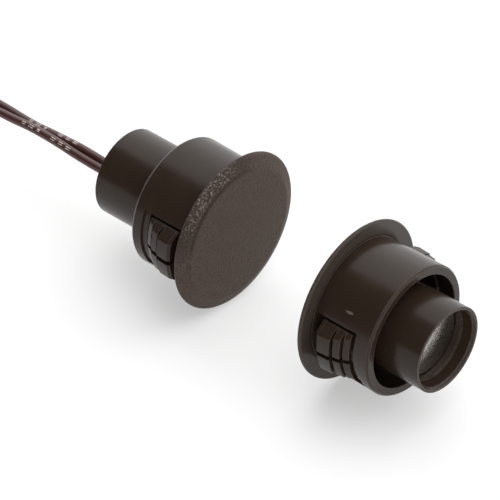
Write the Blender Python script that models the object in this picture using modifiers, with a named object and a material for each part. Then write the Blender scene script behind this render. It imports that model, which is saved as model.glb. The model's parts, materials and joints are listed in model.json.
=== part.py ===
"""Recessed door contact sensor: a switch unit with two leads, and the magnet unit that works it.

Each unit is one moulding: a flanged cap, a barrel that presses into a round hole, and a narrower tube
inside the barrel. Two snap fingers stand in windows in each barrel. The units lie face to face on one
axis, which is horizontal and runs along X, with the rims of both flanges on z = 0.

Sizes are in millimetres and are turned into metres where a mesh is made. Each unit is modelled on its
own axis: local Z points out of the flange's face, local X points up, and depth is counted from the
flange's underside towards the end of the tube, so depth d is at local z = -d.
"""

from math import cos, pi, radians, sin

import bmesh
import bpy
from mathutils import Matrix, Vector

MM = 0.001

# Flange, barrel and tube
FLANGE_R = 11.9
CAP_HEIGHT = 1.6
FACE_R = 10.0
BARREL_R = 9.5
BARREL_END_R = 9.7
BARREL_WALL = 1.1
BARREL_DEPTH = 9.95
SWITCH_TUBE_R = 6.5
MAGNET_TUBE_R = 6.35
TUBE_BORE_R = 5.35
SWITCH_TUBE_DEPTH = 19.8
MAGNET_TUBE_DEPTH = 15.7
MAGNET_MOUTH_R = 5.85
MAGNET_MOUTH_DEPTH = 1.2
INNER_FLOOR_DEPTH = 0.3
SEAT_GAP = 22.9
ROUND_STEPS = 48

# Snap fingers and the windows they stand in
WINDOW_HALF_WIDTH = 4.55
WINDOW_DEPTHS = (0.4, 7.15)
FINGER_HALF_WIDTH = 4.2
FINGER_DEPTHS = (1.75, 6.75)
FINGER_INNER_R = 8.45
FINGER_EDGE_R = 8.55
FINGER_GROOVE_R = 9.7
FINGER_SLOT = (0.63, 9.3)
SHOULDER_SLOPE = 62.0
SWITCH_FINGERS_AT = 93.0
MAGNET_FINGERS_AT = 96.5

# Reed switch and its joints, inside the switch's tube
GAP = 0.3
REED_UP, REED_ACROSS = -0.9, -1.6
RETURN_UP, RETURN_ACROSS = -1.2, 1.6
REED_DEPTHS = (3.0, 15.0)
REED_R = 1.2
REED_WIRE_R = 0.25
BLADE_GAP = 0.12
BLADE_SIZE = (0.2, 0.9, 5.5)
CRIMP_DEPTHS = (15.6, 17.6)

# Potting and leads
POTTING_DEPTHS = (18.2, 20.8)
POTTING_HEAD_R = 6.1
LEAD_D = 1.3
LEAD_START_DEPTH = 18.1
LEAD_SPACING = 1.4
LEAD_SLOT_UP = (-2.6, -0.5)
LEAD_SLOT_HALF_WIDTH = 2.1
STRIPPED = 5.0

# Magnet
MAGNET_DEPTHS = (1.5, 12.9)
ADHESIVE_DEPTHS = (0.6, 1.2)

# The coil of spare lead: each lead has its own ring, and one tie holds both
COIL_CENTRE = (-77.8, -9.1)
COIL_TURN_RADII = (5.85, 7.15, 8.45)
COIL_A_HEIGHTS = (1.0, 2.3)
COIL_B_HEIGHTS = (3.95, 5.25)
TAIL_A_AT = 262.0
TAIL_B_AT = 292.0
TIE_AT = 20.0
TIE_WIDTH = 2.0
TIE_THICK = 0.4

# Places that follow from the sizes
AXIS_Z = FLANGE_R * cos(pi / ROUND_STEPS)
SWITCH_SEAT_X = (POTTING_DEPTHS[1] - MAGNET_TUBE_DEPTH - SEAT_GAP) / 2
MAGNET_SEAT_X = SWITCH_SEAT_X + SEAT_GAP
BARREL_BORE_R = BARREL_R - BARREL_WALL

# Both leads' common centre line outside the tube: depth, height from the axis, and the turn of the pair
PAIR_ROUTE = (
    (20.8, -1.58, 0), (23.6, -1.58, 2), (26.5, -1.48, 6), (29.5, -1.36, 4), (32.4, -1.30, -11),
    (35.4, -1.33, -20), (38.4, -1.46, -26), (41.3, -1.56, -15), (44.3, -1.58, -5),
)
# From the pair's end to the coil: depth, across and height from the floor, for each lead
LANDING_A = (
    (48.0, -0.70, 10.05), (51.0, -0.70, 8.75), (54.0, -0.70, 7.05), (57.0, -0.70, 5.35),
    (60.0, -0.69, 3.95), (63.6, -0.67, 2.90),
)
LANDING_B = (
    (48.0, 0.68, 10.20), (51.0, 0.62, 9.30), (54.0, 0.50, 8.20), (57.0, 0.30, 7.20),
    (60.0, 0.05, 6.40), (63.6, -0.30, 5.75),
)

COLOURS = {
    "housing_brown": ((0.085, 0.066, 0.056), 0.45, 0.0),
    "potting_clear": ((0.80, 0.78, 0.72), 0.25, 0.0),
    "reed_glass": ((0.62, 0.78, 0.66), 0.05, 0.0),
    "reed_alloy": ((0.62, 0.60, 0.56), 0.30, 1.0),
    "cushion_silicone": ((0.75, 0.74, 0.71), 0.60, 0.0),
    "crimp_tinned": ((0.74, 0.72, 0.68), 0.35, 1.0),
    "lead_insulation": ((0.115, 0.048, 0.040), 0.40, 0.0),
    "lead_conductor": ((0.78, 0.74, 0.68), 0.30, 1.0),
    "tie_black": ((0.02, 0.02, 0.02), 0.50, 0.0),
    "magnet_plated": ((0.66, 0.65, 0.63), 0.25, 1.0),
    "adhesive_grey": ((0.45, 0.44, 0.42), 0.55, 0.0),
}


# ---------------------------------------------------------------- scene, materials and small helpers


def clear_scene():
    for obj in list(bpy.data.objects):
        bpy.data.objects.remove(obj, do_unlink=True)


def new_collection(name):
    collection = bpy.data.collections.new(name)
    bpy.context.scene.collection.children.link(collection)
    return collection


def make_material(name):
    colour, roughness, metallic = COLOURS[name]
    material = bpy.data.materials.new(name)
    material.use_nodes = True
    shader = material.node_tree.nodes["Principled BSDF"]
    shader.inputs["Base Color"].default_value = (*colour, 1.0)
    shader.inputs["Roughness"].default_value = roughness
    shader.inputs["Metallic"].default_value = metallic
    return material


def add_object(name, data, collection, parent=None, location=(0, 0, 0)):
    """Links a new object, with its location in millimetres under its parent."""
    obj = bpy.data.objects.new(name, data)
    collection.objects.link(obj)
    obj.parent = parent
    obj.location = Vector(location) * MM
    return obj


def add_part(name, data, material, parent=None, location=(0, 0, 0)):
    obj = add_object(name, data, PARTS, parent, location)
    obj.data.materials.append(MATERIALS[material])
    return obj


def add_axis(name, seat_x, face_direction):
    """An empty on the units' axis at a flange's underside: local Z out of the face and local X up."""
    empty = add_object(name, None, PARTS)
    up = Vector((0, 0, 1))
    out = Vector((face_direction, 0, 0))
    turn = Matrix((up, out.cross(up), out)).transposed().to_4x4()
    empty.matrix_world = Matrix.Translation(Vector((seat_x, 0, AXIS_Z)) * MM) @ turn
    return empty


# ---------------------------------------------------------------- shapes


def turned_mesh(name, profile, closed=False):
    """A profile of (radius, z) points in millimetres, as edges in the XZ plane."""
    mesh = bpy.data.meshes.new(name)
    points = [(radius * MM, 0.0, z * MM) for radius, z in profile]
    edges = [(i, i + 1) for i in range(len(points) - 1)]
    if closed:
        edges.append((len(points) - 1, 0))
    mesh.from_pydata(points, edges, [])
    return mesh


def add_screw(obj, steps):
    screw = obj.modifiers.new("turn", "SCREW")
    screw.angle = 2 * pi
    screw.steps = steps
    screw.render_steps = steps
    screw.use_smooth_shade = True
    screw.use_merge_vertices = True
    screw.merge_threshold = 1e-6


def add_turned(name, profile, material, parent, location=(0, 0, 0), closed=False, steps=ROUND_STEPS):
    """A turned part, with the middle of a facet at local +X and -X."""
    obj = add_part(name, turned_mesh(name, profile, closed), material, parent, location)
    obj.rotation_euler.z = pi / steps
    add_screw(obj, steps)
    return obj


def ring_profile(inner_r, outer_r, near_depth, far_depth):
    return [(inner_r, -near_depth), (outer_r, -near_depth), (outer_r, -far_depth), (inner_r, -far_depth)]


def disc_profile(radius, near_depth, far_depth):
    return [(0, -near_depth), (radius, -near_depth), (radius, -far_depth), (0, -far_depth)]


def box_mesh(name, low, high):
    """A box between two corners, in millimetres."""
    low, high = Vector(low) * MM, Vector(high) * MM
    mesh = bpy.data.meshes.new(name)
    shape = bmesh.new()
    bmesh.ops.create_cube(shape, size=1.0)
    bmesh.ops.scale(shape, vec=high - low, verts=shape.verts)
    bmesh.ops.translate(shape, vec=(low + high) / 2, verts=shape.verts)
    shape.to_mesh(mesh)
    shape.free()
    return mesh


def add_cutter(name, mesh, parent, location=(0, 0, 0), rotation=(0, 0, 0)):
    """A helper that shapes other objects: rotation is in degrees."""
    cutter = add_object(name, mesh, CUTTERS, parent, location)
    cutter.rotation_euler = [radians(angle) for angle in rotation]
    cutter.hide_render = True
    cutter.display_type = "WIRE"
    return cutter


def add_boolean(obj, operation, other):
    modifier = obj.modifiers.new(operation.lower(), "BOOLEAN")
    modifier.operation = operation
    modifier.object = other
    modifier.solver = "EXACT"


def smooth_points(points, spacing):
    """Points about `spacing` apart on a Catmull-Rom curve through the route's points."""
    route = [Vector(p) for p in points]
    route = [2 * route[0] - route[1], *route, 2 * route[-1] - route[-2]]
    found = [route[1]]
    for before, start, end, after in zip(route, route[1:], route[2:], route[3:]):
        pieces = max(1, round((end - start).length / spacing))
        for i in range(1, pieces + 1):
            t = i / pieces
            found.append(
                0.5 * (
                    2 * start
                    + (end - before) * t
                    + (2 * before - 5 * start + 4 * end - after) * t**2
                    + (3 * start - before - 3 * end + after) * t**3
                )
            )
    return found


def wire_curve(name, points, radius):
    curve = bpy.data.curves.new(name, "CURVE")
    curve.dimensions = "3D"
    curve.bevel_depth = radius * MM
    curve.bevel_resolution = 2
    curve.use_fill_caps = True
    spline = curve.splines.new("POLY")
    spline.points.add(len(points) - 1)
    for spline_point, point in zip(spline.points, points):
        spline_point.co = (*(Vector(point) * MM), 1.0)
    return curve


def add_wire(name, points, radius, material, parent=None):
    return add_part(name, wire_curve(name, points, radius), material, parent)


def as_mesh(obj):
    """Replaces a curve object by a mesh object with welded caps, so that a Boolean can take it."""
    bpy.context.view_layer.update()
    graph = bpy.context.evaluated_depsgraph_get()
    mesh = bpy.data.meshes.new_from_object(obj.evaluated_get(graph))
    shape = bmesh.new()
    shape.from_mesh(mesh)
    bmesh.ops.remove_doubles(shape, verts=shape.verts, dist=1e-6)
    shape.to_mesh(mesh)
    shape.free()
    name, parent, place = obj.name, obj.parent, obj.matrix_world.copy()
    bpy.data.objects.remove(obj, do_unlink=True)
    solid = add_object(name, mesh, PARTS)
    solid.parent = parent
    solid.matrix_world = place
    return solid


def turned_about(point, degrees):
    """A point of a unit turned about the unit's axis."""
    return Matrix.Rotation(radians(degrees), 3, "Z") @ Vector(point)


# ---------------------------------------------------------------- housings and snap fingers


def housing_profile(tube_r, tube_depth, mouth):
    """The moulding's section, from the middle of the face down its outside and back up inside the tube.

    The mouth is the tube's inner edge, as pairs of radius and distance from the tube's end.
    """
    tip, chamfer = 0.25, 0.35
    return [
        (0, CAP_HEIGHT),
        (FACE_R - 0.6, CAP_HEIGHT - 0.08),
        (FACE_R, CAP_HEIGHT - 0.2),
        (FLANGE_R - 0.35, 0.75),
        (FLANGE_R, 0.5),
        (FLANGE_R, 0.12),
        (FLANGE_R - 0.2, 0),
        (BARREL_R, 0),
        (BARREL_END_R, -(BARREL_DEPTH - chamfer)),
        (BARREL_END_R - tip, -BARREL_DEPTH),
        (BARREL_BORE_R, -BARREL_DEPTH),
        (BARREL_BORE_R, -INNER_FLOOR_DEPTH),
        (tube_r, -INNER_FLOOR_DEPTH),
        (tube_r, -(tube_depth - tip)),
        (tube_r - tip, -tube_depth),
        *((radius, inside - tube_depth) for radius, inside in mouth),
        (TUBE_BORE_R, -INNER_FLOOR_DEPTH),
        (0, -INNER_FLOOR_DEPTH),
    ]


def finger_profile():
    """Half of the finger's section along the barrel: three ridges that rise towards the flange."""
    near, far = FINGER_DEPTHS
    return [
        (FINGER_INNER_R, -near),
        (10.7, -near),
        (11.0, -near - 0.6),
        (10.8, -4.1),
        (FINGER_GROOVE_R, -4.15),
        (FINGER_GROOVE_R, -4.45),
        (10.55, -4.5),
        (10.35, -5.5),
        (FINGER_GROOVE_R, -5.55),
        (FINGER_GROOVE_R, -5.85),
        (10.1, -5.9),
        (9.9, -far),
        (FINGER_INNER_R, -far),
    ]


def add_window_cutter(axis, unit, letter, at):
    near, far = WINDOW_DEPTHS
    low = (SWITCH_TUBE_R + 0.5, -WINDOW_HALF_WIDTH, -far)
    high = (FLANGE_R + 1.0, WINDOW_HALF_WIDTH, -near)
    name = f"cut_{unit}_window_{letter}"
    return add_cutter(name, box_mesh(name, low, high), axis, rotation=(0, 0, at))


def add_finger(axis, unit, letter, at):
    """A finger cut from a turned ring, under an empty on its living hinge at the finger's root."""
    name = f"{unit}_snap_finger_{letter}"
    hinge_r = (FINGER_INNER_R + BARREL_R) / 2
    hinge = add_object(f"{name}_hinge", None, PARTS, axis, turned_about((hinge_r, 0, -FINGER_DEPTHS[1]), at))
    hinge.rotation_euler.z = radians(at)
    back = (-hinge_r, 0, FINGER_DEPTHS[1])
    finger = add_turned(name, finger_profile(), "housing_brown", hinge, back, closed=True)

    outer = FLANGE_R + 1
    deep = FINGER_DEPTHS[1] + 1
    low = (BARREL_BORE_R - 1, -FINGER_HALF_WIDTH, -deep)
    outline = box_mesh(f"keep_{name}", low, (outer, FINGER_HALF_WIDTH, 0))
    add_boolean(finger, "INTERSECT", add_cutter(f"keep_{name}", outline, hinge, back))
    for side in (-1, 1):
        cut = f"cut_{name}_shoulder_{'low' if side < 0 else 'high'}"
        slab = box_mesh(cut, (-6, min(0, 3 * side), -deep), (6, max(0, 3 * side), 0))
        place = (FINGER_EDGE_R - hinge_r, side * FINGER_HALF_WIDTH, FINGER_DEPTHS[1])
        tilt = side * (90 - SHOULDER_SLOPE)
        add_boolean(finger, "DIFFERENCE", add_cutter(cut, slab, hinge, place, (0, 0, tilt)))
    cut = f"cut_{name}_middle"
    slot_width, slot_r = FINGER_SLOT
    slot = box_mesh(cut, (slot_r, -slot_width / 2, -deep), (outer, slot_width / 2, 0))
    add_boolean(finger, "DIFFERENCE", add_cutter(cut, slot, hinge, back))
    return finger


def add_unit_shell(unit, axis, profile, fingers_at):
    housing = add_turned(f"{unit}_housing", profile, "housing_brown", axis)
    for letter, at in (("a", fingers_at), ("b", fingers_at + 180)):
        add_boolean(housing, "DIFFERENCE", add_window_cutter(axis, unit, letter, at))
        add_finger(axis, unit, letter, at)


# ---------------------------------------------------------------- inside the switch's tube


def add_reed(axis):
    near, far = REED_DEPTHS
    place = (REED_UP, REED_ACROSS, 0)
    neck = REED_WIRE_R + GAP
    bore = REED_R - 0.35
    glass = [
        (neck, -near), (REED_R - 0.3, -near - 0.05), (REED_R, -near - 0.5),
        (REED_R, -far + 0.5), (REED_R - 0.3, -far + 0.05), (neck, -far),
        (neck, -far + 0.7), (bore, -far + 1.1), (bore, -near - 1.1), (neck, -near - 0.7),
    ]
    add_turned("reed_glass", glass, "reed_glass", axis, place, closed=True, steps=20)
    cushion = ring_profile(REED_R + GAP, REED_R + 1.1, near + 2.2, far - 2.8)
    add_turned("reed_cushion", cushion, "cushion_silicone", axis, place, closed=True, steps=24)


def blade_box(name, up, near_depth):
    thick, width, length = BLADE_SIZE
    low = (REED_UP + up - thick / 2, REED_ACROSS - width / 2, -near_depth - length)
    high = (REED_UP + up + thick / 2, REED_ACROSS + width / 2, -near_depth)
    return box_mesh(name, low, high)


def add_reed_blades(axis):
    """The front blade and its return lead are one wire; the rear blade moves, and its lead is fixed."""
    near, far = REED_DEPTHS
    blade_up = (BLADE_SIZE[0] + BLADE_GAP) / 2
    bend_depth, bend_reach = near - 0.7, 1.2
    path = [(REED_UP, REED_ACROSS, -near - 1.0), (REED_UP, REED_ACROSS, -bend_depth - 0.2)]
    for i in range(7):
        turn = pi * i / 6
        up = REED_UP + (RETURN_UP - REED_UP) * i / 6
        path.append((up, REED_ACROSS * cos(turn), -bend_depth + bend_reach * sin(turn)))
    path.append((RETURN_UP, RETURN_ACROSS, -CRIMP_DEPTHS[0] - 0.8))
    front = as_mesh(add_wire("reed_blade_fixed", path, REED_WIRE_R, "reed_alloy", axis))
    blade = add_cutter("join_blade_fixed", blade_box("join_blade_fixed", -blade_up, near + 0.8), axis)
    add_boolean(front, "UNION", blade)

    hinge_depth = far - 1.1
    hinge = add_object(
        "reed_blade_moving_hinge", None, PARTS, axis, (REED_UP + blade_up, REED_ACROSS, -hinge_depth)
    )
    thick, width, length = BLADE_SIZE
    moving = box_mesh("reed_blade_moving", (-thick / 2, -width / 2, 0), (thick / 2, width / 2, length))
    add_part("reed_blade_moving", moving, "reed_alloy", hinge)
    rear = [(REED_UP, REED_ACROSS, -far + 0.8), (REED_UP, REED_ACROSS, -CRIMP_DEPTHS[0] - 0.8)]
    add_wire("reed_lead_rear", rear, REED_WIRE_R, "reed_alloy", axis)


def add_crimps(axis):
    near, far = CRIMP_DEPTHS
    sleeve = ring_profile(REED_WIRE_R + GAP, REED_WIRE_R + 2 * GAP, near, far)
    for letter, up, across in (("a", RETURN_UP, RETURN_ACROSS), ("b", REED_UP, REED_ACROSS)):
        add_turned(f"crimp_{letter}", sleeve, "crimp_tinned", axis, (up, across, 0), closed=True, steps=16)
        side = 1 if across > 0 else -1
        core = [
            (up, across, -near - 0.8 - GAP),
            (up, across, -far),
            (lead_inside(side)[0] + 0.03, lead_inside(side)[1], -LEAD_START_DEPTH + GAP),
        ]
        add_wire(f"lead_core_{letter}", core, REED_WIRE_R, "lead_conductor", axis)


def add_potting(axis):
    near, far = POTTING_DEPTHS
    body_r = TUBE_BORE_R - GAP
    head_depth = SWITCH_TUBE_DEPTH + GAP
    profile = [
        (0, -near), (body_r, -near), (body_r, -head_depth), (POTTING_HEAD_R, -head_depth),
        (POTTING_HEAD_R, -head_depth - 0.35), (POTTING_HEAD_R - 0.5, -far), (0, -far),
    ]
    plug = add_turned("potting_plug", profile, "potting_clear", axis)
    low = (LEAD_SLOT_UP[0], -LEAD_SLOT_HALF_WIDTH, -far - 1)
    high = (LEAD_SLOT_UP[1], LEAD_SLOT_HALF_WIDTH, -near + 1)
    slot = box_mesh("cut_lead_slot", low, high)
    add_boolean(plug, "DIFFERENCE", add_cutter("cut_lead_slot", slot, axis))


# ---------------------------------------------------------------- leads and coil


def lead_inside(side):
    """Where a lead's insulation starts inside the tube: height and distance across from the axis."""
    return -1.45, side * 1.08


def lead_route(side, landing):
    """A lead's points in the world from inside the tube to its coil. Side 1 is the lead nearer -Y."""
    up, across = lead_inside(side)
    points = [
        (SWITCH_SEAT_X - LEAD_START_DEPTH, -across, AXIS_Z + up),
        (SWITCH_SEAT_X - LEAD_START_DEPTH - 1.2, -0.9 * across, AXIS_Z + up - 0.08),
    ]
    for depth, height, turn in PAIR_ROUTE:
        offset = side * LEAD_SPACING / 2
        points.append((
            SWITCH_SEAT_X - depth,
            -offset * cos(radians(turn)),
            AXIS_Z + height - offset * sin(radians(turn)),
        ))
    points += [(SWITCH_SEAT_X - depth, across, height) for depth, across, height in landing]
    return points


def add_coil(name, heights):
    """One closed ring in the outer shape of a lead's coil."""
    wide = LEAD_D / 2 + 0.05
    low = 0.0 if heights is COIL_A_HEIGHTS else heights[0] - LEAD_D / 2
    high = heights[1] + LEAD_D / 2
    inner, outer = COIL_TURN_RADII[0] - wide, COIL_TURN_RADII[-1] + wide
    soft = 0.5
    profile = [
        (outer - soft, high), (outer, high - soft), (outer, low + soft), (outer - soft, low),
        (inner + soft, low), (inner, low + soft), (inner, high - soft), (inner + soft, high),
    ]
    mesh = turned_mesh(name, profile, closed=True)
    ring = add_part(name, mesh, "lead_insulation", location=(*COIL_CENTRE, 0))
    add_screw(ring, 32)


def add_tie():
    """A band over both rings, open where the coil rests on the surface."""
    wide = LEAD_D / 2 + 0.05
    inner = COIL_TURN_RADII[0] - wide - GAP
    outer = COIL_TURN_RADII[-1] + wide + GAP
    top = COIL_B_HEIGHTS[1] + LEAD_D / 2 + GAP
    outline = [
        (inner, 0), (inner, top), (outer, top), (outer, 0), (outer + TIE_THICK, 0),
        (outer + TIE_THICK, top + TIE_THICK), (inner - TIE_THICK, top + TIE_THICK), (inner - TIE_THICK, 0),
    ]
    curve = bpy.data.curves.new("coil_tie", "CURVE")
    curve.dimensions = "2D"
    curve.fill_mode = "BOTH"
    curve.extrude = TIE_WIDTH / 2 * MM
    spline = curve.splines.new("POLY")
    spline.points.add(len(outline) - 1)
    for spline_point, (x, y) in zip(spline.points, outline):
        spline_point.co = (x * MM, y * MM, 0, 1)
    spline.use_cyclic_u = True
    tie = add_part("coil_tie", curve, "tie_black", location=(*COIL_CENTRE, 0))
    tie.rotation_euler = (pi / 2, 0, radians(TIE_AT))


def add_tail(letter, angle, height):
    """A lead's end off its ring, running down to the floor, with its stripped conductor."""
    out_r = COIL_TURN_RADII[-1]
    away = Vector((-sin(radians(angle)), cos(radians(angle)), 0))
    start = Vector((*COIL_CENTRE, 0)) + out_r * Vector((cos(radians(angle)), sin(radians(angle)), 0))
    floor = LEAD_D / 2 + 0.02
    drops = ((5.5, 1.0), (6.7, 0.8), (8.5, 0.35), (10.3, 0.05), (12.0, 0.0))
    tail = [start + away * reach + Vector((0, 0, floor + (height - floor) * part)) for reach, part in drops]
    add_wire(f"lead_tail_{letter}", smooth_points(tail, 1.0), LEAD_D / 2, "lead_insulation")
    tip = [tail[-1] + away * reach for reach in (GAP, GAP + STRIPPED)]
    add_wire(f"lead_tip_{letter}", tip, REED_WIRE_R, "lead_conductor")


def add_leads():
    for letter, side, landing in (("a", 1, LANDING_A), ("b", -1, LANDING_B)):
        points = smooth_points(lead_route(side, landing), 2.2)
        add_wire(f"lead_{letter}", points, LEAD_D / 2, "lead_insulation")
    add_coil("lead_coil_a", COIL_A_HEIGHTS)
    add_coil("lead_coil_b", COIL_B_HEIGHTS)
    add_tail("a", TAIL_A_AT, COIL_A_HEIGHTS[0])
    add_tail("b", TAIL_B_AT, COIL_B_HEIGHTS[0])
    add_tie()


# ---------------------------------------------------------------- the whole sensor


def build_switch_unit():
    axis = add_axis("switch_axis", SWITCH_SEAT_X, 1)
    profile = housing_profile(SWITCH_TUBE_R, SWITCH_TUBE_DEPTH, [(TUBE_BORE_R, 0)])
    add_unit_shell("switch", axis, profile, SWITCH_FINGERS_AT)
    add_reed(axis)
    add_reed_blades(axis)
    add_crimps(axis)
    add_potting(axis)
    add_leads()


def build_magnet_unit():
    axis = add_axis("magnet_axis", MAGNET_SEAT_X, -1)
    mouth = [(MAGNET_MOUTH_R, 0), (TUBE_BORE_R, MAGNET_MOUTH_DEPTH)]
    profile = housing_profile(MAGNET_TUBE_R, MAGNET_TUBE_DEPTH, mouth)
    add_unit_shell("magnet", axis, profile, -MAGNET_FINGERS_AT)
    loose_r = TUBE_BORE_R - GAP
    near, far = MAGNET_DEPTHS
    magnet = [(0, -near), (loose_r - 0.2, -near), (loose_r, -near - 0.2), (loose_r, -far + 0.2),
              (loose_r - 0.2, -far), (0, -far)]
    add_turned("magnet_rod", magnet, "magnet_plated", axis)
    add_turned("magnet_adhesive", disc_profile(loose_r, *ADHESIVE_DEPTHS), "adhesive_grey", axis)


clear_scene()
PARTS = new_collection("door_contact_sensor")
CUTTERS = new_collection("cutters")
MATERIALS = {name: make_material(name) for name in COLOURS}
build_switch_unit()
build_magnet_unit()
for part in PARTS.objects:
    if part.type == "MESH" and part.data.polygons:
        part.data.shade_smooth()
        part.data.set_sharp_from_angle(angle=radians(30))
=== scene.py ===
"""Door contact sensor, the looks: a switch unit with two leads and the magnet unit that works it.

Sizes are in millimetres and become metres where a mesh or an object is made. Each unit is modelled on its
own axis as in the CAD model: local Z points out of the flange's face, local X points up, and depth counts
from the flange's underside towards the end of the tube, so depth d is at local z = -d.
"""

import json
from math import asin, atan2, ceil, copysign, cos, degrees, exp, hypot, pi, radians, sin, tan

import bmesh
import bpy
from mathutils import Matrix, Vector, noise


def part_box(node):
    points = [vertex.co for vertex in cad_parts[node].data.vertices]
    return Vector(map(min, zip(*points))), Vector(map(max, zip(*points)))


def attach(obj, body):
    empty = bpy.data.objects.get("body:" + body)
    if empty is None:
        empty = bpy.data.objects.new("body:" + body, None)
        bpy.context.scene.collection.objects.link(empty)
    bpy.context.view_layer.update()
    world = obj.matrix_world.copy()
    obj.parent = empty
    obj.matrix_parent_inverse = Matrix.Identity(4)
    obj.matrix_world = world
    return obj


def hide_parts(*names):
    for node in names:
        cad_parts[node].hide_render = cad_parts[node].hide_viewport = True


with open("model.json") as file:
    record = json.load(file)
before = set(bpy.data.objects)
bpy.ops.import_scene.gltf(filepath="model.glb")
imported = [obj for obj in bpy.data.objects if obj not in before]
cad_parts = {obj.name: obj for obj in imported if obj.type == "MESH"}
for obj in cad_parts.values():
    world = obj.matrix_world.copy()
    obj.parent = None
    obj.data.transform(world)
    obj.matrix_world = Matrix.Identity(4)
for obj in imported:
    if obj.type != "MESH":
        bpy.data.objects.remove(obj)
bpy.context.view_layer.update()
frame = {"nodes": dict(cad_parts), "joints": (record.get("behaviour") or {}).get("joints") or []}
MM = 0.001

# ---- sizes shared with the CAD model

CAP_HEIGHT = 1.6
FACE_R = 10.0
BARREL_R, BARREL_BORE_R, BARREL_DEPTH = 9.5, 8.4, 9.95
TUBE_RS, TUBE_BORE_R = {"switch": 6.5, "magnet": 6.35}, 5.35
INNER_FLOOR_DEPTH = 0.3
MAGNET_MOUTH_R, MAGNET_MOUTH_DEPTH = 5.95, 2.0
MAGNET_LIP = 0.3
FINGER_INNER_R, FINGER_EDGE_R = 8.45, 8.55
WINDOW_HALF_WIDTH, FINGER_HALF_WIDTH = 4.55, 4.2
SHOULDER_SLOPE = 62.0
MAGNET_DEPTHS = (1.5, 12.6)
REED_UP, REED_ACROSS = -0.9, -1.6
REED_DEPTHS, REED_R = (3.0, 15.0), 1.2
POTTING_R = 6.15
LEAD_D = 1.3
LEAD_SPACING = 1.4
LEAD_START_DEPTH, LEAD_EXIT_DEPTH = 18.1, 20.8
LEAD_START_UP, LEAD_START_ACROSS = -1.45, 1.08
WAVES_PER_MM = 0.35
STRIPPED = 5.0
STRAND_R, STRAND_TURNS, STRAND_OVERLAP = 0.082, 1.4, 1.0
TURN_STEPS = 96

# Both leads' common centre line outside the tube: depth, height from the axis, and the turn of the pair
PAIR_ROUTE = (
    (20.8, -1.58, 0), (23.6, -1.58, 2), (26.5, -1.48, 6), (29.5, -1.36, 4), (32.4, -1.30, -11),
    (35.4, -1.33, -20), (38.4, -1.46, -26), (41.3, -1.56, -15), (44.3, -1.58, -5),
)
# From the pair's end to the coil: depth, across and height from the floor, for each lead
LANDINGS = {
    "a": ((48.0, -0.70, 10.05), (51.0, -0.70, 8.75), (54.0, -0.70, 7.05),
          (57.0, -0.70, 5.35), (60.0, -0.69, 3.95), (63.6, -0.67, 2.90)),
    "b": ((48.0, 0.68, 10.20), (51.0, 0.62, 9.30), (54.0, 0.50, 8.20),
          (57.0, 0.30, 7.20), (60.0, 0.05, 6.40), (63.6, -0.30, 5.75)),
}
LEAD_SIDES = {"a": 1, "b": -1}
PRINT_TOWARDS = {"a": Vector((0.1, 0.55, -0.84)), "b": Vector((0.1, 0.2, -1.0))}
PATH_SPACING = 0.7

# The coil of spare lead: each lead winds inwards on its upper layer and outwards on its lower one
COIL_CENTRE = (-77.8, -9.1)
COIL_TURN_RADII = (5.85, 7.15, 8.45)
COIL_HEIGHTS = {"a": (2.3, 1.0), "b": (5.25, 3.95)}
COIL_ENTRY_AT = 90.0
COIL_TURNS, COIL_STEP = 5, 10.0
TAIL_AT = {"a": 262.0, "b": 292.0}
# Each tail off the ring: distance along it, and the part of its height over the floor that is left
TAIL_DROPS = ((1.5, 1.0), (3.5, 1.0), (5.5, 1.0), (6.7, 0.8), (8.5, 0.35), (10.3, 0.05), (12.0, 0.0))
CROSSING = 60.0
DROP_FROM, DROP_OVER = 230.0, 90.0
TIE_AT, TIE_WIDTH, TIE_THICK = 20.0, 2.0, 0.4
TIE_CORNER_R, TIE_ROOM = 0.5, 0.15

# ---- camera and studio

CAMERA_AZIMUTH, CAMERA_ELEVATION, CAMERA_DISTANCE = 41.79, 38.88, 545.3
CAMERA_ASIDE, CAMERA_ABOVE = -6.02, 1.96
LENS, SENSOR = 288.0, 36.0
CEILING_TOWARDS, SHADE_TOWARDS = Vector((-0.15, 0.45, 0.88)), Vector((-0.52, -0.78, 0.35))
SKY_LEVEL, CEILING_LEVEL, SHADE_LEVEL = 1.15, 1.95, 0.10
FLOOR_HALF_WIDTH_M = 12.0


def aim_camera():
    """A long lens near the middle of the two caps, from the right front and above."""
    low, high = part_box("switch_housing")
    middle = (high.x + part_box("magnet_housing")[0].x) / 2
    azimuth, elevation = radians(CAMERA_AZIMUTH), radians(CAMERA_ELEVATION)
    back = Vector((sin(azimuth) * cos(elevation), -cos(azimuth) * cos(elevation), sin(elevation)))
    right = Vector((cos(azimuth), sin(azimuth), 0))
    target = Vector((middle, 0, (low.z + high.z) / 2))
    target += (right * CAMERA_ASIDE + back.cross(right) * CAMERA_ABOVE) * MM
    data = bpy.data.cameras.new("camera")
    data.lens, data.sensor_width = LENS, SENSOR
    data.clip_start, data.clip_end = 0.05, 20.0
    camera = new_object("camera", data)
    camera.location = target + back * CAMERA_DISTANCE * MM
    camera.rotation_mode = "QUATERNION"
    camera.rotation_quaternion = (-back).to_track_quat("-Z", "Y")
    bpy.context.scene.camera = camera


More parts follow.
